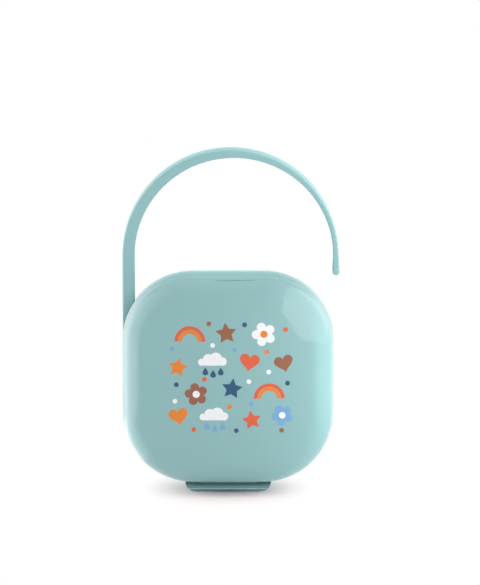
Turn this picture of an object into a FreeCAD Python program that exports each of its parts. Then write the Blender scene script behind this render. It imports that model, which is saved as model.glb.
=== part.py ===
import FreeCAD, Part
import math
import os

V = FreeCAD.Vector
RIGHT = V(1, 0, 0)
BACK = V(0, 1, 0)

# Soother case: x runs to the right, y to the back and z up from the face that the foot rests on.

# Outer form of the case, seen from the front as a rounded square
case_width = 88.0
case_height = 88.0
case_depth = 44.0
corner_radius = 29.0
front_edge_radius = 11.0
side_depth = 8.0
rim_edge_radius = 0.6
crown_radius = 300.0
wall = 1.8

# Front cover and its seat on the rear shell
cover_depth = 16.0
cover_step = 0.8
seam_gap = 0.2
lip_reach = 2.5
lip_root = 2.0
lip_wall = 1.2
lip_gap = 0.3
catch_width = 14.0
catch_radius = 0.8
catch_bead = 0.2
nail_groove_length = 21.0
nail_groove_width = 0.8
nail_groove_depth = 0.7
nail_groove_angle = 20.0
nail_groove_x = 3.2

# Foot and hinge
foot_width = 36.0
foot_height = 4.35
foot_corner_radius = 5.2
foot_back = 9.0
knuckle_radius = 1.85
knuckle_floor_gap = 0.2
cover_knuckle_width = 24.4
hinge_gap = 0.3
hinge_pin_radius = 0.8
hinge_pin_length = 33.0

# Handle: one strap that arches from a leg on the left to a free end on the right
leg_inset = 0.1
arch_overhang = 1.9
arch_rise = 6.0
strap_back = 10.0
strap_width = 10.0
strap_root = 5.1
strap_top = 3.1
strap_end = 2.3
strap_edge_radius = 0.6
tip_flare = 2.5
tip_lean = 3.2
tip_drop = 7.65
eye_radius = 3.8
eye_blend = 1.2
pivot_drop = 34.0
handle_pin_radius = 1.0

# Pocket of the handle in the rear shell
pocket_gap = 0.3
pocket_wall = 1.6

# Divider panel and its guide ribs
divider_thickness = 1.6
divider_gap = 0.25
divider_setback = 2.0
guide_height = 2.6
guide_width = 1.2
finger_notch_radius = 14.0
finger_notch_depth = 9.0

# Fits of the pins
pin_run_gap = 0.05
pin_seat_gap = 0.02
overrun = 1.0

# Places that follow from the sizes
front_y = -case_depth / 2
back_y = case_depth / 2
seam_y = front_y + cover_depth
back_edge_radius = case_depth - cover_depth - side_depth
rim_y = seam_y + seam_gap
middle_z = foot_height + case_height / 2
top_z = foot_height + case_height
hinge_z = knuckle_floor_gap + knuckle_radius
strap_y = seam_y + strap_back
leg_outer_x = leg_inset - case_width / 2
leg_inner_x = leg_outer_x + strap_root
arch_radius = (case_width - leg_inset + arch_overhang) / 2
arch_x = leg_outer_x + arch_radius
arch_z = top_z + arch_rise
inside_radius = arch_radius - (strap_root + strap_end) / 2
inside_x = leg_inner_x + inside_radius
inside_z = arch_z + arch_radius - strap_top - inside_radius
pivot_x = leg_outer_x + eye_radius
pivot_z = top_z - pivot_drop
pocket_half = strap_width / 2 + pocket_gap
liner_half = pocket_half + pocket_wall
lip_inset = wall + lip_gap
catch_y = seam_y + lip_reach / 2
catch_z = top_z - lip_inset - catch_radius + catch_bead
divider_front = seam_y + lip_reach + divider_setback


def box(x0, x1, y0, y1, z0, z1):
    """Block between two corners."""
    return Part.makeBox(x1 - x0, y1 - y0, z1 - z0, V(x0, y0, z0))


def rod_along_x(radius, length, y, z):
    """Round bar along x, centred on the case."""
    return Part.makeCylinder(radius, length, V(-length / 2, y, z), RIGHT)


def rod_along_y(radius, half_length, x, z):
    """Round bar along y, centred on the handle."""
    return Part.makeCylinder(radius, 2 * half_length, V(x, strap_y - half_length, z), BACK)


def edges_along_y(shape):
    """Straight edges of a block that run from front to back."""
    return [edge for edge in shape.Edges if abs(edge.tangentAt(edge.FirstParameter).y) > 0.99]


def rounded_block(inset, y0, y1):
    """Rounded square of the case, pulled in all round by inset, from y0 to y1."""
    half_width = case_width / 2 - inset
    half_height = case_height / 2 - inset
    block = box(-half_width, half_width, y0, y1, middle_z - half_height, middle_z + half_height)
    return block.makeFillet(corner_radius - inset, edges_along_y(block))


def dish(inset, y_open, y_apex, edge_radius):
    """Solid bowl from an open plane to a crowned face, pulled in by inset on every side."""
    facing = math.copysign(1, y_apex - y_open)
    ball_radius = crown_radius - inset
    ball = Part.makeSphere(ball_radius, V(0, y_apex - facing * crown_radius, middle_z))
    bowl = rounded_block(inset, min(y_open, y_apex), max(y_open, y_apex)).common(ball)
    crown = next(face for face in bowl.Faces if isinstance(face.Surface, Part.Sphere))
    return bowl.makeFillet(edge_radius - inset, crown.Edges)


def cover_bowl(inset, y_open):
    """Bowl of the front cover, pulled in by inset from the outline of the case."""
    return dish(inset, y_open, front_y - cover_step, front_edge_radius)


def shell_bowl(inset, y_open):
    """Bowl of the rear shell, pulled in by inset from the outline of the case."""
    return dish(inset, y_open, back_y, back_edge_radius)


def make_nail_groove():
    """Thin slice of a large disc, which sinks a groove that fades out at both ends."""
    round_over = front_edge_radius - cover_step
    ball_y = front_y - cover_step + crown_radius
    round_z = top_z - front_edge_radius
    round_y = ball_y - math.sqrt((crown_radius - front_edge_radius) ** 2 - (round_z - middle_z) ** 2)
    lean = math.radians(nail_groove_angle)
    outward = V(0, -math.sin(lean), math.cos(lean))
    along = V(0, math.cos(lean), math.sin(lean))
    disc_radius = (nail_groove_length ** 2 / 4 + nail_groove_depth ** 2) / (2 * nail_groove_depth)
    centre = V(nail_groove_x, round_y, round_z) + outward * (round_over + disc_radius - nail_groove_depth)
    return Part.makeCylinder(disc_radius, nail_groove_width, centre - along * (nail_groove_width / 2), along)


def make_front_cover():
    """Crowned cover with a lip inside its rim and the middle knuckle of the hinge below."""
    shell = cover_bowl(cover_step, seam_y).cut(cover_bowl(cover_step + wall, seam_y + overrun))
    lip = rounded_block(lip_inset, seam_y - lip_root, seam_y + lip_reach)
    lip = lip.cut(rounded_block(lip_inset + lip_wall, seam_y - lip_root - overrun, seam_y + lip_reach + overrun))
    bead = rod_along_x(catch_radius, catch_width, catch_y, catch_z)
    half_knuckle = cover_knuckle_width / 2
    knuckle = rod_along_x(knuckle_radius, cover_knuckle_width, seam_y, hinge_z)
    web_top = foot_height + cover_step + wall / 2
    web = box(-half_knuckle, half_knuckle, seam_y - knuckle_radius, seam_y - seam_gap, hinge_z, web_top)
    cover = shell.multiFuse([lip, bead, knuckle, web])
    bore = rod_along_x(hinge_pin_radius + pin_run_gap, case_width, seam_y, hinge_z)
    return cover.cut(bore).cut(make_nail_groove()).removeSplitter()


def make_foot():
    """Foot block with round lower corners and the two outer knuckles at its front edge."""
    half = foot_width / 2
    top = foot_height + back_edge_radius
    outline = box(-half, half, seam_y - knuckle_radius, foot_back, 0, top)
    lower = [edge for edge in edges_along_y(outline) if edge.CenterOfMass.z < hinge_z]
    outline = outline.makeFillet(foot_corner_radius, lower)
    block = box(-half, half, rim_y, foot_back, 0, top)
    knuckles = rod_along_x(knuckle_radius, foot_width, seam_y, hinge_z)
    return outline.common(block.fuse(knuckles)).cut(shell_bowl(wall / 2, front_y))


def make_guides():
    """Pair of ribs round the inside that the divider slides between."""
    ring = shell_bowl(wall / 2, divider_front)
    ring = ring.cut(shell_bowl(wall + guide_height, divider_front - overrun))
    inner = divider_thickness / 2 + divider_gap
    outer = inner + guide_width
    right = box(inner, outer, divider_front, back_y, 0, top_z)
    left = box(-outer, -inner, divider_front, back_y, 0, top_z)
    return ring.common(right.fuse(left))


def pocket_form(half, margin):
    """Room for the leg and the eye of the strap, grown by margin, open to the left and the top."""
    leg = box(-case_width, leg_inner_x + margin, strap_y - half, strap_y + half, pivot_z, top_z + overrun)
    return leg.fuse(rod_along_y(eye_radius + margin, half, pivot_x, pivot_z))


def make_rear_shell():
    """Deep half of the case with the foot, the guides of the divider and the pocket of the handle."""
    outer = shell_bowl(0, rim_y)
    rim = next(face for face in outer.Faces if face.BoundBox.YMax < rim_y + seam_gap)
    outer = outer.makeFillet(rim_edge_radius, rim.Edges)
    shell = outer.cut(shell_bowl(wall, rim_y - overrun))
    liner = pocket_form(liner_half, pocket_gap + pocket_wall).common(outer)
    shell = shell.multiFuse([make_foot(), make_guides(), liner])
    relief = rod_along_x(knuckle_radius + hinge_gap, cover_knuckle_width + 2 * hinge_gap, seam_y, hinge_z)
    detent = rod_along_x(catch_radius + lip_gap, catch_width + 2 * lip_gap, catch_y, catch_z)
    hinge_bore = rod_along_x(hinge_pin_radius + pin_seat_gap, case_width, seam_y, hinge_z)
    handle_bore = rod_along_y(handle_pin_radius + pin_seat_gap, liner_half + overrun, pivot_x, pivot_z)
    shell = shell.cut(pocket_form(pocket_half, pocket_gap)).cut(relief).cut(detent)
    return shell.cut(hinge_bore).cut(handle_bore).removeSplitter()


def make_divider():
    """Upright panel that fills the middle of the rear shell, with a finger notch in its front edge."""
    half = divider_thickness / 2
    panel = shell_bowl(wall + divider_gap, divider_front)
    panel = panel.common(box(-half, half, front_y, back_y, 0, top_z))
    notch_y = divider_front + finger_notch_depth - finger_notch_radius
    return panel.cut(rod_along_x(finger_notch_radius, case_width, notch_y, middle_z))


def direction(degrees):
    """Unit vector in the plane of the arch, at an angle from the right."""
    turn = math.radians(degrees)
    return V(math.cos(turn), 0, math.sin(turn))


def arc(centre, radius, start, end):
    """Arc in the plane of the arch between two angles."""
    points = [centre + direction(turn) * radius for turn in (start, (start + end) / 2, end)]
    return Part.Arc(*points)


def make_free_end(centre, inside_centre):
    """Free end of the strap, which leans out and swells a little down to its round tip."""
    outside = centre + direction(tip_lean) * arch_radius
    inside = inside_centre + direction(-tip_flare) * inside_radius
    tip_z = arch_z - tip_drop
    lean = math.radians(tip_lean)
    flare = math.radians(tip_flare)
    swell = (outside.z - tip_z) * math.tan(lean) + (inside.z - tip_z) * math.tan(flare)
    tangent_sum = (1 + math.sin(lean)) / math.cos(lean) + (1 + math.sin(flare)) / math.cos(flare)
    radius = (outside.x - inside.x + swell) / tangent_sum
    round_x = inside.x + (radius + (tip_z + radius - inside.z) * math.sin(flare)) / math.cos(flare)
    round_centre = V(round_x, 0, tip_z + radius)
    inside_end = round_centre - direction(-tip_flare) * radius
    outside_end = round_centre + direction(tip_lean) * radius
    return [
        Part.LineSegment(inside, inside_end),
        Part.Arc(inside_end, V(round_x, 0, tip_z), outside_end),
        Part.LineSegment(outside_end, outside),
    ]


def make_leg():
    """Leg of the strap, whose inner side runs into the round eye through a hollow."""
    pivot = V(pivot_x, 0, pivot_z)
    hollow_x = leg_inner_x + eye_blend
    hollow_z = pivot_z + math.sqrt((eye_radius + eye_blend) ** 2 - (hollow_x - pivot_x) ** 2)
    hollow = V(hollow_x, 0, hollow_z)
    lean = math.degrees(math.atan2(hollow_z - pivot_z, hollow_x - pivot_x))
    return [
        Part.LineSegment(V(leg_outer_x, 0, arch_z), V(leg_outer_x, 0, pivot_z)),
        arc(pivot, eye_radius, -180, lean),
        arc(hollow, eye_blend, 180 + lean, 180),
        Part.LineSegment(V(leg_inner_x, 0, hollow_z), V(leg_inner_x, 0, inside_z)),
    ]


def make_strap_outline():
    """Closed side view of the strap, whose inner and outer arcs have centres of their own."""
    centre = V(arch_x, 0, arch_z)
    inside_centre = V(inside_x, 0, inside_z)
    curves = make_leg() + make_free_end(centre, inside_centre)
    curves.append(arc(inside_centre, inside_radius, 180, -tip_flare))
    curves.append(arc(centre, arch_radius, tip_lean, 180))
    return Part.Wire(Part.__sortEdges__([curve.toShape() for curve in curves]))


def make_handle():
    """Strap of even width with soft edges and the bore of its eye."""
    face = Part.Face(make_strap_outline())
    face.translate(V(0, strap_y - strap_width / 2, 0))
    strap = face.extrude(V(0, strap_width, 0))
    rims = [edge for edge in strap.Edges if edge.BoundBox.YLength < strap_edge_radius]
    strap = strap.makeFillet(strap_edge_radius, rims)
    return strap.cut(rod_along_y(handle_pin_radius + pin_run_gap, strap_width, pivot_x, pivot_z))


pieces = {
    "rear_shell": make_rear_shell(),
    "front_cover": make_front_cover(),
    "divider_panel": make_divider(),
    "hinge_pin": rod_along_x(hinge_pin_radius, hinge_pin_length, seam_y, hinge_z),
    "carry_handle": make_handle(),
    "handle_pin": rod_along_y(handle_pin_radius, liner_half, pivot_x, pivot_z),
}

os.makedirs("parts", exist_ok=True)
for name, shape in pieces.items():
    shape.exportStep("parts/" + name + ".step")
    size = shape.BoundBox
    print(name, shape.isValid(), len(shape.Solids), round(shape.Volume), size)
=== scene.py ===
import math
import bmesh
import bpy
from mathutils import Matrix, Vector


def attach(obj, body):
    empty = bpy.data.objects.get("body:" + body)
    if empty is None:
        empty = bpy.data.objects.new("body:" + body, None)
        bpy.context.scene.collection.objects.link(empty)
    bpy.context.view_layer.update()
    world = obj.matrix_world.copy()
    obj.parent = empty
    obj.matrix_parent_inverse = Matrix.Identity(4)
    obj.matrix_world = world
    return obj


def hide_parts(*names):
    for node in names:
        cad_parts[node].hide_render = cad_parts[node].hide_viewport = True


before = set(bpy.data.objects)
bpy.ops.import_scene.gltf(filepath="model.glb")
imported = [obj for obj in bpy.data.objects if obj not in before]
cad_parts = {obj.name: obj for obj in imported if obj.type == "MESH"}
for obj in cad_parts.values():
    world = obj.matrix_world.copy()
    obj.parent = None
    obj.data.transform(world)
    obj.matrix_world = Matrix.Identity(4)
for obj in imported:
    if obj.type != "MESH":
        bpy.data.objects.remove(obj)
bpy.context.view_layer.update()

mm = 0.001

# Outer form of the case, a rounded square with a crowned front and back; y grows from front to back
case_width = 88 * mm
case_height = 88 * mm
case_depth = 44 * mm
corner_radius = 29 * mm
crown_radius = 300 * mm
front_edge_radius = 11 * mm
back_edge_radius = 20 * mm
wall = 1.8 * mm
mesh_room = 0.02 * mm
front_y = -case_depth / 2
back_y = case_depth / 2 - mesh_room

# Cover, its lip and the rim of the shell behind it
cover_depth = 16 * mm
cover_step = 0.8 * mm
seam_inset = 0.4 * mm
seam_gap = 0.1 * mm
lip_inset = 2.1 * mm
lip_wall = 1.2 * mm
lip_reach = 2.5 * mm
lip_root = 2.0 * mm
rim_inset = 0.37 * mm
rim_run = 5 * mm
rim_curve = 1.3
lip_round = 0.1 * mm
taper_shares = (0.3, 0.6, 0.9, 0.97)
catch_radius = 0.8 * mm
catch_bead = 0.2 * mm
catch_width = 14 * mm
catch_edge = 0.3 * mm
seam_y = front_y + cover_depth
rim_y = seam_y + seam_gap

# Nail groove on the upper rounding of the cover
groove_length = 21 * mm
groove_depth = 0.4 * mm
groove_width = 0.8 * mm
groove_x = 3.2 * mm
groove_lean = math.radians(20)
groove_lip_share = 1.9
groove_clear_share = 1.6

# Print on the face of the cover; the grid, the weld and the motifs are in millimetres
print_x = 1.2 * mm
print_z = 52.2 * mm
ink_room = 0.06 * mm
ink_sink = 0.03 * mm
ink_film = 0.015 * mm
ink_step = 0.005 * mm
print_grid = 2.5
print_lines = 11
print_weld = 0.01
dot_size = 1
drop_size = 1.7
cloud_size = 6.2
outer_band = (6.4, 4.9)
inner_band = (4.7, 3.3)
rain_places = ((-3.2, 2.4), (0, 3.4), (3.2, 2.4))
face_apex_y = front_y - cover_step + ink_room

# Foot and hinge
foot_width = 36 * mm
foot_height = 4.35 * mm
foot_corner_radius = 5.2 * mm
foot_back = 9 * mm
foot_sink = 1.5 * mm
knuckle_radius = 1.85 * mm
knuckle_floor_gap = 0.2 * mm
knuckle_width = 24.4 * mm
knuckle_gap = 0.06 * mm
ridge_height = 0.15 * mm
ridge_turn = 195
ridge_spread = 10
hinge_gap = 0.3 * mm
web_reach = 1.1 * mm
web_foot = 0.5 * mm
hinge_bore = 0.85 * mm
hinge_edge = 0.06 * mm
hinge_z = knuckle_floor_gap + knuckle_radius
hinge_pivot = Vector((0, seam_y, hinge_z))
# Height, half width and brightness of the painted highlight line on the foot and the middle knuckle
highlight_line_z = hinge_z + knuckle_radius * math.sin(math.radians(ridge_turn))
highlight_line_half = 0.26 * mm
highlight_line_gain = 2.8
middle_z = foot_height + case_height / 2
top_z = foot_height + case_height

# Strap of the handle
leg_inset = 0.1 * mm
arch_overhang = 1.9 * mm
arch_rise = 6 * mm
strap_setback = 10 * mm
strap_y = seam_y + strap_setback
strap_width = 10 * mm
strap_root = 5.1 * mm
strap_top = 3.1 * mm
strap_end = 2.3 * mm
strap_round = 0.6 * mm
tip_flare = 2.5
tip_lean = 3.2
tip_drop = 7.65 * mm
eye_radius = 3.8 * mm
eye_blend = 1.2 * mm
eye_bore = 1.05 * mm
pivot_drop = 34 * mm
leg_outer_x = leg_inset - case_width / 2
leg_inner_x = leg_outer_x + strap_root
arch_radius = (case_width - leg_inset + arch_overhang) / 2
arch_x = leg_outer_x + arch_radius
arch_z = top_z + arch_rise
inside_radius = arch_radius - (strap_root + strap_end) / 2
inside_x = leg_inner_x + inside_radius
inside_z = arch_z + arch_radius - strap_top - inside_radius
pivot_x = leg_outer_x + eye_radius
pivot_z = top_z - pivot_drop
strap_pivot = Vector((pivot_x, 0, pivot_z))

# Pocket of the handle and guides of the divider
pocket_gap = 0.3 * mm
pocket_wall = 1.6 * mm
pin_seat = 1.02 * mm
divider_gap = 2 * mm
divider_front = seam_y + lip_reach + divider_gap
guide_inner_x = 1.05 * mm
guide_width = 1.2 * mm
guide_height = 2.6 * mm

# Fineness of the meshes
corner_steps = 24
side_steps = 24
round_steps = 16
rim_steps = 6
swell_steps = 12
crown_shares = (0.94, 0.86, 0.76, 0.64, 0.5, 0.36, 0.22, 0.1)
rod_steps = 48
knuckle_steps = 120
foot_steps = 12
eye_steps = 40
blend_steps = 8
arch_steps = 120
tip_steps = 20
edge_steps = 5
bevel_segments = 3
bevel_angle = math.radians(35)
sharp_angle = math.radians(32)
straight_up = 0.999
overrun = 1 * mm
weld_room = 0.001 * mm

# Finishes: the colours of the pieces, and the scales and shares of their plastic
sea_green = (0.2, 0.388, 0.396)
# Darker green of the foot and the middle knuckle: painted shade for the shadow under the case
painted_shade_green = (0.135, 0.262, 0.267)
strap_green = (0.246, 0.445, 0.455)
panel_white = (0.78, 0.79, 0.77)
pigment_scale = 60
cloud_share = 0.7
mottle_share = 0.6
gloss_spread = 0.15
grain_strength = 0.2
sheen_weight = 0.7
sheen_roughness = 0.25
sheen_tint = (0.5, 1, 1)
coat_roughness = 0.03
shell_plastic = {"roughness": 0.35, "spread": 0.015, "grain_scale": 900, "grain_depth": 0.004 * mm}
strap_plastic = {"roughness": 0.32, "spread": 0.03, "grain_scale": 1400, "grain_depth": 0.006 * mm}
panel_plastic = {"roughness": 0.38, "spread": 0.02, "grain_scale": 1200, "grain_depth": 0.02 * mm}

# Studio: a long lens, a white floor that keeps the shadow near the foot, and a white room
pixel = 0.4157 * mm
image_width = 480
sensor_width = 36
view_distance = 3.0
view_reach = 100
view_pitch = math.radians(11)
aim = Vector((4.93 * mm, 0, 83.35 * mm))
floor_reach = 20
shadow_reach_x = 34 * mm
shadow_reach_y = 40 * mm
shadow_least = 0.02
shadow_end = 1.05
shadow_tint = (0.93, 0.8, 0.79)
paper_white = (1, 1, 1)
paper_roughness = 0.9
paper_gloss = 0.1
room_light = 0.4


def direction(degrees):
    """Unit vector in the plane of the arch, at an angle from the right."""
    turn = math.radians(degrees)
    return Vector((math.cos(turn), 0, math.sin(turn)))


def outline_spots():
    """Places round the rounded square: a point of the frame of corner centres and its outward normal."""
    frame_x = case_width / 2 - corner_radius
    frame_z = case_height / 2 - corner_radius
    corners = [(frame_x, frame_z), (-frame_x, frame_z), (-frame_x, -frame_z), (frame_x, -frame_z)]
    spots = []
    for quarter in range(4):
        here = Vector((corners[quarter][0], 0, middle_z + corners[quarter][1]))
        after = Vector((corners[(quarter + 1) % 4][0], 0, middle_z + corners[(quarter + 1) % 4][1]))
        for step in range(corner_steps):
            spots.append((here, direction(90 * (quarter + step / corner_steps))))
        for step in range(side_steps):
            spots.append((here.lerp(after, step / side_steps), direction(90 * (quarter + 1))))
    return spots


spots = outline_spots()


def ring(inset, y):
    """Rounded square pulled in by inset, at depth y."""
    return [place + out * (corner_radius - inset) + Vector((0, y, 0)) for place, out in spots]


def rounded_edge(inset, y, inset_change, y_change):
    """Rings of a quarter round that starts along y and ends along the face it meets."""
    rings = []
    for step in range(rim_steps + 1):
        turn = math.pi / 2 * step / rim_steps
        rings.append(ring(inset + inset_change * (1 - math.cos(turn)), y + y_change * math.sin(turn)))
    return rings


def bowl_rings(inset, y_open, apex_y, edge_radius, groove=False):
    """Rings of a bowl from its open end over the rounding to the point of its crowned face."""
    facing = math.copysign(1, apex_y - y_open)
    ball = Vector((0, apex_y - facing * crown_radius, middle_z))
    rounding = edge_radius - inset
    centres = []
    for place, out in spots:
        centre = place + out * (corner_radius - edge_radius)
        reach = (centre - Vector((0, 0, middle_z))).length
        centre.y = ball.y + facing * math.sqrt((crown_radius - edge_radius) ** 2 - reach ** 2)
        centres.append((centre, out, (centre - ball).normalized()))
    shares = [(step / round_steps, False) for step in range(round_steps + 1)]
    if groove:
        shares = groove_shares(shares, centres)
    rings = [ring(inset, y_open)]
    for share, sunk in shares:
        points = []
        for centre, out, face in centres:
            depth = groove_depth_at(centre.x) if sunk and out.z > straight_up else 0
            points.append(centre + out.slerp(face, share) * (rounding - depth))
        rings.append(points)
    last = rings[-1]
    for share in crown_shares:
        flat = [Vector((p.x * share, 0, middle_z + (p.z - middle_z) * share)) for p in last]
        rings.append([Vector((p.x, crown_y(p, inset, ball, facing), p.z)) for p in flat])
    rings.append([Vector((0, apex_y - facing * inset, middle_z))])
    return rings


def crown_y(point, inset, ball, facing):
    """Depth of the crowned face at a place of the front view."""
    reach = math.hypot(point.x, point.z - middle_z)
    return ball.y + facing * math.sqrt((crown_radius - inset) ** 2 - reach ** 2)


def groove_depth_at(x):
    """Depth of the nail groove, which fades out at both ends like the cut of a large wheel."""
    wheel = (groove_length ** 2 / 4 + groove_depth ** 2) / (2 * groove_depth)
    return max(0, groove_depth - wheel + math.sqrt(wheel ** 2 - (x - groove_x) ** 2))


def groove_shares(shares, centres):
    """Shares of the rounding with four more for the lips and the floor of the nail groove."""
    top = [(out, face) for centre, out, face in centres if out.z > straight_up and abs(centre.x) < mm]
    out, face = top[0]
    whole = out.angle(face)
    half = groove_width / 4 / (front_edge_radius - cover_step)
    lip = half * groove_lip_share
    clear = lip * groove_clear_share
    kept = [row for row in shares if abs(row[0] * whole - groove_lean) > clear]
    sides = [(-lip, False), (-half, True), (half, True), (lip, False)]
    return sorted(kept + [((groove_lean + turn) / whole, sunk) for turn, sunk in sides])


def add_object(name, mesh):
    """Object of a mesh, put into the scene."""
    piece = bpy.data.objects.new(name, mesh)
    bpy.context.scene.collection.objects.link(piece)
    return piece


def loft(name, rings):
    """Closed mesh of rings that are joined in turn.

    An end ring of one point closes as a fan, and a full one as a face.
    """
    bm = bmesh.new()
    rows = [[bm.verts.new(p) for p in points] for points in rings]
    for one, two in zip(rows, rows[1:]):
        count = max(len(one), len(two))
        for i in range(count):
            j = (i + 1) % count
            corners = [one[i % len(one)], one[j % len(one)], two[j % len(two)], two[i % len(two)]]
            bm.faces.new(list(dict.fromkeys(corners)))
    for row in (rows[0], rows[-1]):
        if len(row) > 1:
            bm.faces.new(row)
    bmesh.ops.recalc_face_normals(bm, faces=bm.faces)
    mesh = bpy.data.meshes.new(name)
    bm.to_mesh(mesh)
    bm.free()
    return add_object(name, mesh)


def prism(name, points, along, start, end):
    """Closed prism of an outline of points, from start to end along x or y."""
    axis = Vector((1, 0, 0)) if along == "x" else Vector((0, 1, 0))
    return loft(name, [[p + axis * start for p in points], [p + axis * end for p in points]])


def rod(name, radius, along, centre, start, end):
    """Round bar along x or y through a centre."""
    points = []
    for step in range(rod_steps):
        spoke = direction(360 * step / rod_steps) * radius
        points.append(centre + (Vector((0, spoke.x, spoke.z)) if along == "x" else spoke))
    return prism(name, points, along, start, end)


def arc(centre, radius, start, end, steps, inward=False):
    """Points of an arc in the plane of the arch, each with the normal out of the solid."""
    sign = -1 if inward else 1
    turns = [start + (end - start) * step / steps for step in range(steps + 1)]
    return [(centre + direction(turn) * radius, direction(turn) * sign) for turn in turns]


def combine(piece, other, operation):
    """Applies a boolean between two closed meshes and removes the second."""
    cut = piece.modifiers.new("combine", "BOOLEAN")
    cut.operation = operation
    cut.solver = "EXACT"
    cut.object = other
    apply_modifiers(piece)
    mesh = other.data
    bpy.data.objects.remove(other)
    bpy.data.meshes.remove(mesh)
    return piece


def apply_modifiers(piece):
    """Bakes the modifiers of a piece into its mesh."""
    bpy.context.view_layer.update()
    graph = bpy.context.evaluated_depsgraph_get()
    mesh = bpy.data.meshes.new_from_object(piece.evaluated_get(graph))
    old = piece.data
    piece.modifiers.clear()
    piece.data = mesh
    mesh.name = piece.name
    bpy.data.meshes.remove(old)


def soften(piece, width):
    """Rounds the sharp edges of a piece a little and welds the slivers that cuts leave."""
    bevel = piece.modifiers.new("soften", "BEVEL")
    bevel.width = width
    bevel.segments = bevel_segments
    bevel.limit_method = "ANGLE"
    bevel.angle_limit = bevel_angle
    apply_modifiers(piece)
    bm = bmesh.new()
    bm.from_mesh(piece.data)
    bmesh.ops.remove_doubles(bm, verts=bm.verts, dist=weld_room)
    bm.to_mesh(piece.data)
    bm.free()


def dress(piece, body, finish):
    """Smooths a piece, paints it and lets it ride on its body."""
    piece.data.polygons.foreach_set("use_smooth", [True] * len(piece.data.polygons))
    piece.data.set_sharp_from_angle(angle=sharp_angle)
    piece.data.materials.clear()
    piece.data.materials.append(finish)
    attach(piece, body)
    return piece


class Sum:
    """Output of a shader node that takes part in Python sums."""

    def __init__(self, finish, socket):
        self.finish = finish
        self.socket = socket

    def math(self, operation, first, second):
        node = self.finish.node("ShaderNodeMath", {"operation": operation}, {0: first, 1: second})
        return Sum(self.finish, node.outputs[0])

    def __add__(self, other):
        return self.math("ADD", self, other)

    def __radd__(self, other):
        return self.math("ADD", other, self)

    def __sub__(self, other):
        return self.math("SUBTRACT", self, other)

    def __rsub__(self, other):
        return self.math("SUBTRACT", other, self)

    def __mul__(self, other):
        return self.math("MULTIPLY", self, other)

    def __rmul__(self, other):
        return self.math("MULTIPLY", other, self)

    def most(self, other):
        return self.math("MAXIMUM", self, other)


class Finish:
    """Node tree of a material or of the world, with one way to add a node."""

    def __init__(self, owner):
        owner.use_nodes = True
        self.owner = owner
        self.tree = owner.node_tree

    def node(self, kind, settings, inputs):
        node = self.tree.nodes.new(kind)
        for name, value in settings.items():
            setattr(node, name, value)
        for name, value in inputs.items():
            self.feed(node, name, value)
        return node

    def feed(self, node, name, value):
        if isinstance(value, Sum):
            self.tree.links.new(value.socket, node.inputs[name])
        else:
            node.inputs[name].default_value = value

    def out(self, node, name):
        return Sum(self, node.outputs[name])

    def place(self):
        return self.out(self.node("ShaderNodeTexCoord", {}, {}), "Object")

    def along(self, axis):
        split = self.node("ShaderNodeSeparateXYZ", {}, {"Vector": self.place()})
        return self.out(split, axis)

    def noise(self, scale, detail):
        inputs = {"Vector": self.place(), "Scale": scale, "Detail": detail}
        return self.out(self.node("ShaderNodeTexNoise", {}, inputs), "Fac")

    def blend(self, factor, first, second):
        node = self.node("ShaderNodeMix", {"data_type": "RGBA"}, {0: factor, 6: first, 7: second})
        return Sum(self, node.outputs[2])

    def bump(self, height, strength, distance):
        inputs = {"Height": height, "Strength": strength, "Distance": distance}
        return self.out(self.node("ShaderNodeBump", {}, inputs), "Normal")


def tone(red, green, blue, share=1):
    """Opaque colour, darker or lighter by a share."""
    return (red * share, green * share, blue * share, 1)


def moulded(name, colour, roughness, spread, grain_scale, grain_depth, coat=0, painted_highlight=False):
    """Plastic with cloudy pigment, a fine moulded grain and a gloss that varies a little.

    Where asked, a pale line is painted along it at the height of the knuckles' ridge: a painted
    highlight.
    """
    finish = Finish(bpy.data.materials.new(name))
    shader = finish.tree.nodes["Principled BSDF"]
    clouding = finish.noise(pigment_scale, detail=3)
    grain = finish.noise(grain_scale, detail=2)
    pigment = cloud_share * clouding + (1 - cloud_share) * grain
    base = finish.blend(pigment, tone(*colour, 1 - spread), tone(*colour, 1 + spread))
    # Painted highlight: a pale line at the height of the knuckles' ridge
    if painted_highlight:
        away = (finish.along("Z") - highlight_line_z) * (1 / highlight_line_half)
        base = finish.blend((1 - away * away).most(0), base, tone(*colour, highlight_line_gain))
    glossiest, spread_up = roughness * (1 - gloss_spread), roughness * 2 * gloss_spread
    finish.feed(shader, "Base Color", base)
    finish.feed(shader, "Roughness", glossiest + spread_up * clouding)
    finish.feed(shader, "Normal", finish.bump(grain, grain_strength, grain_depth))
    shader.inputs["Coat Weight"].default_value = coat
    shader.inputs["Coat Roughness"].default_value = coat_roughness
    shader.inputs["Sheen Weight"].default_value = sheen_weight
    shader.inputs["Sheen Roughness"].default_value = sheen_roughness
    shader.inputs["Sheen Tint"].default_value = tone(*sheen_tint)
    return finish.owner


def printed_ink(name, colour):
    """Screen-printed ink: even, a little matte, with a faint mottle where the film is thinner."""
    finish = Finish(bpy.data.materials.new(name))
    shader = finish.tree.nodes["Principled BSDF"]
    coarse = finish.noise(scale=500, detail=3)
    fine = finish.noise(scale=2600, detail=1)
    mottle = mottle_share * coarse + (1 - mottle_share) * fine
    thick, thin = tone(*colour, 0.93), tone(*colour, 1.06)
    finish.feed(shader, "Base Color", finish.blend(mottle, thick, thin))
    finish.feed(shader, "Roughness", 0.24 + 0.12 * mottle)
    finish.feed(shader, "Normal", finish.bump(mottle, strength=0.15, distance=0.01 * mm))
    return finish.owner


def drawn_steel(name):
    """Drawn steel wire with fine marks."""
    finish = Finish(bpy.data.materials.new(name))
    shader = finish.tree.nodes["Principled BSDF"]
    marks = finish.noise(scale=4000, detail=1)
    dark, bright = tone(0.55, 0.56, 0.57), tone(0.68, 0.69, 0.7)
    finish.feed(shader, "Base Color", finish.blend(marks, dark, bright))
    finish.feed(shader, "Roughness", 0.25 + 0.15 * marks)
    shader.inputs["Metallic"].default_value = 1
    return finish.owner


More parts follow.
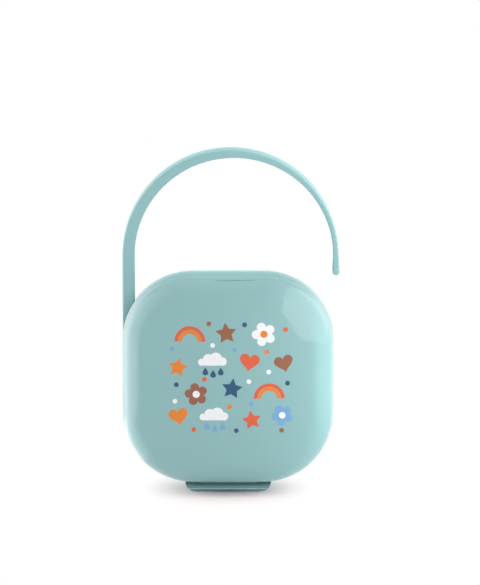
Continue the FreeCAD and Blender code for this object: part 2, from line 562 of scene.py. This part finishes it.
gloss_shell = moulded("gloss_shell", sea_green, **shell_plastic, coat=1)
gloss_cover = moulded("gloss_cover", sea_green, **shell_plastic, coat=1)
# Finishes of the foot and the middle knuckle: painted shade (a darker green) and a painted highlight
# line
foot_shell_painted_shade_highlight = moulded("foot_shell_painted_shade_highlight", painted_shade_green, **shell_plastic, coat=1, painted_highlight=True)
foot_cover_painted_shade_highlight = moulded("foot_cover_painted_shade_highlight", painted_shade_green, **shell_plastic, coat=1, painted_highlight=True)
satin_strap = moulded("satin_strap", strap_green, **strap_plastic)
pale_panel = moulded("pale_panel", panel_white, **panel_plastic)
pin_steel = drawn_steel("pin_steel")
coral_ink = printed_ink("ink_coral", (0.63, 0.095, 0.035))
brown_ink = printed_ink("ink_brown", (0.26, 0.095, 0.05))
dark_blue_ink = printed_ink("ink_dark_blue", (0.01, 0.07, 0.155))
light_blue_ink = printed_ink("ink_light_blue", (0.15, 0.33, 0.53))
white_ink = printed_ink("ink_white", (0.76, 0.76, 0.78))
orange_ink = printed_ink("ink_orange", (0.69, 0.19, 0.012))


def make_cover():
    """Cover as one closed skin: face, rounding with the nail groove, rim, lip and hollow inside."""
    outside = bowl_rings(cover_step, seam_y, face_apex_y, front_edge_radius, groove=True)
    inside = bowl_rings(cover_step + wall, seam_y - lip_root, face_apex_y, front_edge_radius)
    lip_end = seam_y + lip_reach
    seam = rounded_edge(seam_inset, seam_y - lip_round, lip_round, lip_round)
    rings = outside[:1:-1]
    for share in taper_shares:
        rings.append([near.lerp(far, share) for near, far in zip(outside[2], seam[0])])
    rings += seam + [ring(lip_inset, seam_y)]
    rings += rounded_edge(lip_inset, lip_end - lip_round, lip_round, lip_round)
    rings += [ring(lip_inset + lip_wall, lip_end), ring(lip_inset + lip_wall, seam_y - lip_root)]
    rings += inside
    cover = loft("front_cover_skin", rings)
    dress(cover, "cover", gloss_cover)
    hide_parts("front_cover")


def knuckle_point(degrees):
    """Point of the round of the hinge knuckles, with the fine ridge of the mould along its front."""
    turn = math.radians(degrees)
    ridge = ridge_height * max(0, 1 - abs(degrees - ridge_turn) / ridge_spread)
    return hinge_pivot + Vector((0, math.cos(turn), math.sin(turn))) * (knuckle_radius + ridge)


def make_cover_hinge():
    """Middle knuckle of the hinge with the web that carries it under the cover."""
    web_top = foot_height + cover_step + wall / 2
    web_back = seam_y - 2 * seam_gap
    start = math.degrees(math.acos(-web_foot / knuckle_radius))
    end = 360 + 90 - math.degrees(math.asin((web_back - seam_y) / knuckle_radius))
    points = [Vector((0, web_back, web_top)), Vector((0, seam_y - web_reach, web_top))]
    for step in range(knuckle_steps + 1):
        points.append(knuckle_point(start + (end - start) * step / knuckle_steps))
    knuckle = prism("cover_knuckle", points, "x", -knuckle_width / 2, knuckle_width / 2)
    combine(knuckle, rod("bore", hinge_bore, "x", hinge_pivot, -case_width, case_width), "DIFFERENCE")
    soften(knuckle, hinge_edge)
    # Painted shade and a painted highlight line on the middle knuckle
    dress(knuckle, "cover", foot_cover_painted_shade_highlight)


def make_catch():
    """Catch bead on the lip of the cover, which snaps into the rim of the shell."""
    centre = Vector((0, seam_y + lip_reach / 2, top_z - lip_inset - catch_radius + catch_bead))
    bead = rod("catch_bead", catch_radius, "x", centre, -catch_width / 2, catch_width / 2)
    soften(bead, catch_edge)
    dress(bead, "cover", gloss_cover)


def pocket_outline(margin):
    """Outline of the room for the leg and the eye of the strap, grown by margin, open to the left."""
    radius = eye_radius + margin
    side_x = leg_inner_x + margin
    start = math.degrees(math.acos((side_x - pivot_x) / radius))
    points = [Vector((-case_width, 0, top_z + arch_rise)), Vector((side_x, 0, top_z + arch_rise))]
    points += [point for point, normal in arc(strap_pivot, radius, start, -180, rod_steps)]
    points.append(Vector((-case_width, 0, pivot_z)))
    return points


def make_shell():
    """Rear shell: hollow bowl with a soft rim and the lined pocket of the handle in its side."""
    outside = bowl_rings(0, rim_y + rim_run, back_y, back_edge_radius)
    shares = [step / swell_steps for step in range(swell_steps + 1)]
    rim = [ring(rim_inset * (1 - share) ** rim_curve, rim_y + rim_run * share) for share in shares]
    shell = loft("rear_shell_bowl", rim + outside[1:])
    hollow = loft("hollow", bowl_rings(wall, rim_y - overrun, back_y, back_edge_radius))
    half = strap_width / 2 + pocket_gap
    lined = half + pocket_wall
    around = pocket_outline(pocket_gap + pocket_wall)
    liner = prism("liner", around, "y", strap_y - lined, strap_y + lined)
    pocket = prism("pocket", pocket_outline(pocket_gap), "y", strap_y - half, strap_y + half)
    combine(hollow, liner, "DIFFERENCE")
    combine(shell, hollow, "DIFFERENCE")
    combine(shell, pocket, "DIFFERENCE")
    seat = rod("seat", pin_seat, "y", strap_pivot, strap_y - lined, strap_y + lined)
    combine(shell, seat, "DIFFERENCE")
    dress(shell, "case", gloss_shell)
    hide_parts("rear_shell")


def make_guides():
    """Pair of ribs round the inside of the shell that hold the divider."""
    top_spot = corner_steps + side_steps // 2
    low_spot = top_spot + 2 * (corner_steps + side_steps)
    wide = bowl_rings(wall / 2, divider_front, back_y, back_edge_radius)
    narrow = bowl_rings(wall + guide_height, divider_front, back_y, back_edge_radius)

    def upright(rings):
        upper = [points[top_spot] for points in rings[:-1]]
        lower = [points[low_spot] for points in rings[:-1]]
        return [Vector((0, p.y, p.z)) for p in upper + rings[-1] + lower[::-1]]

    outline = upright(wide) + upright(narrow)[::-1]
    starts = (("guide_left", -guide_inner_x - guide_width), ("guide_right", guide_inner_x))
    for name, start in starts:
        rib = prism(name, outline, "x", start, start + guide_width)
        dress(rib, "case", gloss_shell)


def make_foot():
    """Foot with round lower corners and the two outer knuckles at its front edge."""
    half = foot_width / 2
    top = foot_height + foot_sink
    round_x = half - foot_corner_radius
    left = arc(Vector((-round_x, 0, foot_corner_radius)), foot_corner_radius, 180, 270, foot_steps)
    right = arc(Vector((round_x, 0, foot_corner_radius)), foot_corner_radius, 270, 360, foot_steps)
    front = [point for point, normal in left + right]
    front += [Vector((half, 0, top)), Vector((-half, 0, top))]
    foot = prism("case_foot", front, "y", seam_y - knuckle_radius, foot_back)
    spread = math.degrees(math.acos((rim_y - seam_y) / knuckle_radius))
    side = [Vector((0, foot_back + overrun, top + overrun)), Vector((0, rim_y, top + overrun))]
    for step in range(knuckle_steps + 1):
        side.append(knuckle_point(spread + (360 - 2 * spread) * step / knuckle_steps))
    side += [Vector((0, rim_y, -overrun)), Vector((0, foot_back + overrun, -overrun))]
    combine(foot, prism("side", side, "x", -case_width, case_width), "INTERSECT")
    reach = knuckle_width / 2 + knuckle_gap
    relief = rod("relief", knuckle_radius + hinge_gap, "x", hinge_pivot, -reach, reach)
    combine(foot, relief, "DIFFERENCE")
    combine(foot, rod("bore", hinge_bore, "x", hinge_pivot, -case_width, case_width), "DIFFERENCE")
    soften(foot, hinge_edge)
    # Painted shade and a painted highlight line on the foot
    dress(foot, "case", foot_shell_painted_shade_highlight)


def strap_outline():
    """Points and normals round the side view of the strap: eye, inside, free end and outside."""
    hollow_x = leg_inner_x + eye_blend
    hollow_z = pivot_z + math.sqrt((eye_radius + eye_blend) ** 2 - (hollow_x - pivot_x) ** 2)
    lean = math.degrees(math.atan2(hollow_z - pivot_z, hollow_x - pivot_x))
    inside = Vector((inside_x, 0, inside_z))
    outside = Vector((arch_x, 0, arch_z))
    near = inside + direction(-tip_flare) * inside_radius
    far = outside + direction(tip_lean) * arch_radius
    tip_z = arch_z - tip_drop
    lean_out = math.radians(tip_lean)
    flare = math.radians(tip_flare)
    swell = (far.z - tip_z) * math.tan(lean_out) + (near.z - tip_z) * math.tan(flare)
    tangents = [(1 + math.sin(turn)) / math.cos(turn) for turn in (lean_out, flare)]
    tip_radius = (far.x - near.x + swell) / sum(tangents)
    across = tip_radius + (tip_z + tip_radius - near.z) * math.sin(flare)
    tip = Vector((near.x + across / math.cos(flare), 0, tip_z + tip_radius))
    hollow = Vector((hollow_x, 0, hollow_z))
    spans = arc(strap_pivot, eye_radius, -180, lean, eye_steps)
    spans += arc(hollow, eye_blend, 180 + lean, 180, blend_steps, inward=True)[1:]
    spans += arc(inside, inside_radius, 180, -tip_flare, arch_steps, inward=True)
    spans += arc(tip, tip_radius, 180 - tip_flare, 360 + tip_lean, tip_steps)
    spans += arc(outside, arch_radius, tip_lean, 180, arch_steps)
    return spans


def make_strap():
    """Strap with soft edges and the bore of its eye."""
    spans = strap_outline()
    front = strap_y - strap_width / 2
    back = strap_y + strap_width / 2
    turns = [math.pi / 2 * step / edge_steps for step in range(edge_steps + 1)]
    edge = [(strap_round * (1 - math.sin(t)), strap_round * (1 - math.cos(t))) for t in turns]
    sections = [(mesh_room + inset, front + rise) for inset, rise in edge]
    sections += [(inset, front + back - y) for inset, y in sections[::-1]]
    rings = []
    for inset, y in sections:
        rings.append([p - normal * inset + Vector((0, y, 0)) for p, normal in spans])
    strap = loft("carry_strap", rings)
    bore = rod("bore", eye_bore, "y", strap_pivot, front - overrun, back + overrun)
    combine(strap, bore, "DIFFERENCE")
    dress(strap, "handle", satin_strap)
    # The two broad sides are flat, and the case doesn't mirror the strap
    for face in strap.data.polygons:
        face.use_smooth = len(face.vertices) < 5
    strap.visible_glossy = False
    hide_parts("carry_handle")


def full_turn(count):
    """Angles of a full turn in equal steps."""
    return [2 * math.pi * step / count for step in range(count)]


def turned(points, x, z, size, degrees=0):
    """Outline of a motif in millimetres, scaled, turned and put at its place in the print."""
    turn = math.radians(degrees)
    c, s = math.cos(turn) * size, math.sin(turn) * size
    return [(x + u * c - w * s, z + u * s + w * c) for u, w in points]


def disc(x, z, size):
    """Round spot."""
    return turned([(math.cos(t), math.sin(t)) for t in full_turn(28)], x, z, size)


def star(x, z, size, degrees):
    """Plump star with five points."""
    reach = [1, 0.5] * 5
    spokes = [(r * math.sin(t), r * math.cos(t)) for r, t in zip(reach, full_turn(10))]
    return turned(spokes, x, z, size, degrees)


def heart(x, z, size, degrees):
    """Heart on the usual sums of sines and cosines."""
    points = []
    for t in full_turn(44):
        lobes = 13 * math.cos(t) - 5 * math.cos(2 * t) - 2 * math.cos(3 * t) - math.cos(4 * t)
        points.append((16 * math.sin(t) ** 3 / 17, (lobes + 2.5) / 17))
    return turned(points, x, z, size, degrees)


def drop(x, z, size):
    """Drop of rain with its point up."""
    points = [(math.sin(t) * math.sin(t / 2) ** 1.6, math.cos(t)) for t in full_turn(36)]
    return turned(points, x, z, size)


def flower(x, z, size, degrees):
    """Flower with five round petals."""
    reach = [(0.62 + 0.38 * abs(math.cos(2.5 * t)) ** 0.7, t) for t in full_turn(60)]
    return turned([(r * math.sin(t), r * math.cos(t)) for r, t in reach], x, z, size, degrees)


def cloud(x, z, size):
    """Flat-bottomed cloud: the outer edge of five puffs."""
    puffs = [(-0.75, 0.22, 0.25), (-0.32, 0.42, 0.36), (0.18, 0.46, 0.42), (0.62, 0.27, 0.29)]
    puffs.append((0, 0.2, 0.5))
    points = []
    for step in range(49):
        t = math.pi * step / 48
        ray = (math.cos(t), math.sin(t))
        reach = 0
        for u, w, r in puffs:
            near = ray[0] * u + ray[1] * w
            apart = u * u + w * w - near * near
            if apart < r * r:
                reach = max(reach, near + math.sqrt(r * r - apart))
        points.append((ray[0] * reach, ray[1] * reach))
    return turned(points, x, z, size)


def bow(x, z, outer, inner):
    """Half ring of a rainbow."""
    turns = [math.pi * step / 40 for step in range(41)]
    upper = [(math.cos(t) * outer, math.sin(t) * outer) for t in turns]
    lower = [(math.cos(t) * inner, math.sin(t) * inner) for t in turns[::-1]]
    return turned(upper + lower, x, z, 1)


def dots(*places):
    """Small dots between the motifs."""
    return [disc(x, z, dot_size) for x, z in places]


def rain(x, z):
    """Three drops under a cloud."""
    return [drop(x + across, z - fall, drop_size) for across, fall in rain_places]


def make_ink(name, finish, outlines, layer=0):
    """One ink of the print: thin raised film that follows the crown of the cover, higher by layer."""
    bm = bmesh.new()
    for outline in outlines:
        bm.faces.new([bm.verts.new((u, 0, w)) for u, w in outline])
    bm.normal_update()
    bmesh.ops.triangulate(bm, faces=bm.faces[:])
    for step in range(-print_lines, print_lines + 1):
        for across in (Vector((1, 0, 0)), Vector((0, 0, 1))):
            geometry = bm.verts[:] + bm.edges[:] + bm.faces[:]
            line = across * step * print_grid
            bmesh.ops.bisect_plane(bm, geom=geometry, plane_co=line, plane_no=across)
    bmesh.ops.remove_doubles(bm, verts=bm.verts, dist=print_weld)
    bottom = set(bm.verts)
    bmesh.ops.extrude_face_region(bm, geom=bm.faces[:], use_keep_orig=True)
    ball = Vector((0, face_apex_y + crown_radius, middle_z))
    for vert in bm.verts:
        inset = cover_step + (ink_sink if vert in bottom else -ink_film - layer * ink_step)
        vert.co = Vector((print_x + vert.co.x * mm, 0, print_z + vert.co.z * mm))
        vert.co.y = crown_y(vert.co, inset, ball, -1)
    bmesh.ops.recalc_face_normals(bm, faces=bm.faces)
    mesh = bpy.data.meshes.new(name)
    bm.to_mesh(mesh)
    bm.free()
    dress(add_object(name, mesh), "cover", finish)


def make_print():
    """Staggered rows of rainbows, clouds with rain, hearts, stars and flowers, in six inks."""
    upper_bow, lower_bow = (-17, 14.5), (15.8, -9.4)
    upper_cloud, lower_cloud = (-7.4, 4.6), (-6.8, -18.6)
    white_flower, brown_flower, blue_flower = (13.6, 17.6), (-14.4, -7.6), (21.2, -16.6)
    coral = [bow(*upper_bow, *outer_band), heart(7.6, 5.6, 4.4, -8), star(8.6, -18.6, 4.2, 10)]
    coral += [bow(*lower_bow, *outer_band)]
    coral += dots((-11, -1.2), (22.6, 19.4), (-15.4, -22.6))
    orange = [bow(*upper_bow, *inner_band), star(-22, 3.6, 4.2, -10), heart(-21.6, -17.4, 4.2, 12)]
    orange += [bow(*lower_bow, *inner_band), disc(*white_flower, 1.5)]
    orange += dots((14.8, 10.2), (-0.6, -12.8))
    brown = [star(-2, 18, 4.6, 6), flower(*brown_flower, 4.8, 12), heart(22, 5, 4.2, 14)]
    brown += dots((-9.2, 22), (21, -23))
    dark_blue = [star(0.4, -5.2, 4.5, -8)] + rain(*upper_cloud)
    dark_blue += dots((5.6, 21.6), (-22.6, -3.6), (23.4, -3), (2.2, -23))
    light_blue = [flower(*blue_flower, 4.6, 30)] + rain(*lower_cloud)
    light_blue += dots((-24.4, 11.4), (1.4, 11.2), (8.4, -11.6))
    white = [flower(*white_flower, 5, 20), disc(*brown_flower, 1.5), disc(*blue_flower, 1.4)]
    white += [cloud(*upper_cloud, cloud_size), cloud(*lower_cloud, cloud_size)]
    white += dots((15.6, 1.8), (-7.6, 13), (7.4, -2.2), (-23.2, -10.6))
    make_ink("print_coral", coral_ink, coral)
    make_ink("print_brown", brown_ink, brown)
    make_ink("print_dark_blue", dark_blue_ink, dark_blue)
    make_ink("print_light_blue", light_blue_ink, light_blue)
    make_ink("print_white", white_ink, white, layer=1)
    make_ink("print_orange", orange_ink, orange, layer=2)


# The pieces, and finishes for the CAD nodes that stay
make_cover()
make_print()
make_cover_hinge()
make_catch()
make_shell()
make_guides()
make_foot()
make_strap()
plain_nodes = {"divider_panel": pale_panel, "hinge_pin": pin_steel, "handle_pin": pin_steel}
for node, finish in plain_nodes.items():
    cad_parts[node].data.materials.clear()
    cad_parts[node].data.materials.append(finish)


def make_camera():
    """Long lens that looks down at the case."""
    lens = bpy.data.cameras.new("photo_view")
    lens.sensor_fit = "HORIZONTAL"
    lens.sensor_width = sensor_width
    lens.lens = view_distance / (pixel * image_width) * sensor_width
    lens.clip_end = view_reach
    camera = bpy.data.objects.new("photo_view", lens)
    camera.location = aim - Vector((0, math.cos(view_pitch), -math.sin(view_pitch))) * view_distance
    camera.rotation_euler = (math.pi / 2 - view_pitch, 0, 0)
    bpy.context.scene.collection.objects.link(camera)
    bpy.context.scene.camera = camera


def make_floor():
    """White floor, which shows its shading round the foot and fades into the white of the room."""
    mesh = bpy.data.meshes.new("studio_floor")
    corners = [(x * floor_reach, y * floor_reach, 0) for x, y in ((-1, -1), (1, -1), (1, 1), (-1, 1))]
    mesh.from_pydata(corners, [], [(0, 1, 2, 3)])
    floor = add_object("studio_floor", mesh)
    paper = Finish(bpy.data.materials.new("studio_paper"))
    shader = paper.tree.nodes["Principled BSDF"]
    path = paper.node("ShaderNodeLightPath", {}, {})
    seen = paper.out(path, "Is Camera Ray")
    fibre = paper.noise(scale=30, detail=2)
    white = paper.blend(fibre, tone(*paper_white, 0.9), tone(*paper_white, 0.93))
    paper.feed(shader, "Base Color", paper.blend(seen, white, tone(*shadow_tint)))
    shader.inputs["Roughness"].default_value = paper_roughness
    shader.inputs["Specular IOR Level"].default_value = paper_gloss
    across = paper.along("X") * (1 / shadow_reach_x)
    along = paper.along("Y") * (1 / shadow_reach_y)
    far = across * across + along * along
    span = {"Value": far, "To Min": shadow_least, "From Max": shadow_end}
    fade = paper.out(paper.node("ShaderNodeMapRange", {}, span), "Result")
    glow = paper.node("ShaderNodeEmission", {}, {"Strength": 1})
    mirrored = paper.out(path, "Is Glossy Ray")
    mixed = paper.node("ShaderNodeMixShader", {}, {0: fade * seen.most(mirrored)})
    paper.tree.links.new(shader.outputs[0], mixed.inputs[1])
    paper.tree.links.new(glow.outputs[0], mixed.inputs[2])
    paper.tree.links.new(mixed.outputs[0], paper.tree.nodes["Material Output"].inputs["Surface"])
    mesh.materials.append(paper.owner)


def glow_sheet(name, points, radiance, axis, full_at, dim_at, dim_tone):
    """Glowing sheet that the camera doesn't see; along one axis it goes from white to a dimmer tone."""
    mesh = bpy.data.meshes.new(name)
    mesh.from_pydata(points, [], [tuple(range(len(points)))])
    sheet = add_object(name, mesh)
    glow = Finish(bpy.data.materials.new(name + "_glow"))
    span = {"Value": glow.along(axis), "From Min": full_at, "From Max": dim_at}
    fade = glow.out(glow.node("ShaderNodeMapRange", {}, span), "Result")
    colour = glow.blend(fade, tone(1, 1, 1), dim_tone)
    lamp = glow.node("ShaderNodeEmission", {}, {"Color": colour, "Strength": radiance})
    glow.tree.links.new(lamp.outputs[0], glow.tree.nodes["Material Output"].inputs["Surface"])
    mesh.materials.append(glow.owner)
    sheet.visible_camera = False
    return sheet


def make_left_wall():
    """Upright soft wall on the left, brightest near the floor, for the strip along the left edge."""
    x, back, front, top = -0.15, 0.12, -0.11, 0.3
    points = [(x, back, mm), (x, front, mm), (x, front, top), (x, back, top)]
    dim = tone(1, 1, 1, 0.6)
    glow_sheet("left_wall", points, radiance=2.1, axis="Z", full_at=0.045, dim_at=0.2, dim_tone=dim)


def make_left_floor_card():
    """Card on the floor on the left, which the case mirrors round its lower left corner."""
    far_x, near_x, back, front = -0.15, -0.046, 0.1, -0.04
    points = [(far_x, back, mm), (far_x, front, mm), (near_x, front, mm), (near_x, back, mm)]
    dim = tone(1, 1, 1, 0.7)
    card = glow_sheet("left_floor_card", points, radiance=2.3, axis="X",
                      full_at=far_x, dim_at=near_x, dim_tone=dim)
    card.visible_diffuse = False
    card.visible_shadow = False


def make_back_card():
    """Tinted card behind the case, which keeps the top from mirroring too much white."""
    y, low, high, half = 1, 0.05, 1.1, 1
    points = [(-half, y, low), (half, y, low), (half, y, high), (-half, y, high)]
    dim = tone(0.5, 0.7, 0.7)
    glow_sheet("back_card", points, radiance=1, axis="Z", full_at=0.15, dim_at=0.45, dim_tone=dim)


def make_right_panel():
    """Sheet on the right, close to the case, whose outline gives the window in the upper corner.

    Its outline is drawn on an upright plane and moved towards the corner that mirrors it.
    """
    corner = Vector((25 * mm, -18 * mm, 75 * mm))
    plane_x, nearness = 0.19, 0.6
    outline = [(0.05, 0.05), (-0.24, 0.05), (-0.76, 0.004), (-1.13, 0.097), (-0.76, 0.232)]
    outline += [(-0.47, 0.347), (-0.27, 0.4), (-0.07, 0.434), (0.1, 0.444), (0.25, 0.25), (0.2, 0.1)]
    points = [corner.lerp(Vector((plane_x, y, z)), nearness) for y, z in outline]
    dim = tone(1, 1, 1, 0.6)
    glow_sheet("right_panel", points, radiance=3, axis="Y", full_at=-0.3, dim_at=-0.02, dim_tone=dim)


def soft_lamp(name, place, facing, width, height, radiance):
    """Rectangular lamp that lights the case but isn't mirrored in it."""
    lamp = bpy.data.lights.new(name, "AREA")
    lamp.shape = "RECTANGLE"
    lamp.size = width
    lamp.size_y = height
    lamp.energy = radiance * math.pi * width * height
    box = bpy.data.objects.new(name, lamp)
    box.location = place
    box.rotation_euler = Vector(facing).to_track_quat("-Z", "Y").to_euler()
    box.visible_glossy = False
    box.visible_camera = False
    bpy.context.scene.collection.objects.link(box)


def make_world():
    """White surroundings for the camera and for reflections, and a softer even light on the case."""
    world = bpy.data.worlds.new("studio_room")
    bpy.context.scene.world = world
    room = Finish(world)
    path = room.node("ShaderNodeLightPath", {}, {})
    seen = room.out(path, "Is Camera Ray").most(room.out(path, "Is Glossy Ray"))
    seen = seen.most(room.out(path, "Is Transmission Ray"))
    backdrop = room.tree.nodes["Background"]
    backdrop.inputs["Color"].default_value = (1, 1, 1, 1)
    room.feed(backdrop, "Strength", room_light + (1 - room_light) * seen)


# The studio, with the sheets that the case mirrors and the lamps that it doesn't
make_camera()
make_floor()
make_world()
make_right_panel()
make_left_wall()
make_left_floor_card()
make_back_card()
soft_lamp("right_fill", place=(0.083, -0.044, 0.044), facing=(-0.8, 0.6, -0.2),
          width=0.03, height=0.06, radiance=4.2)
soft_lamp("side_fill", place=(0.3, 0.06, 0.09), facing=(-1, 0, 0), width=0.2, height=0.2, radiance=1)
soft_lamp("top_fill", place=(0, 0, 0.6), facing=(0, 0, -1), width=0.6, height=0.6, radiance=1.2)

bpy.context.scene.view_settings.view_transform = "Standard"
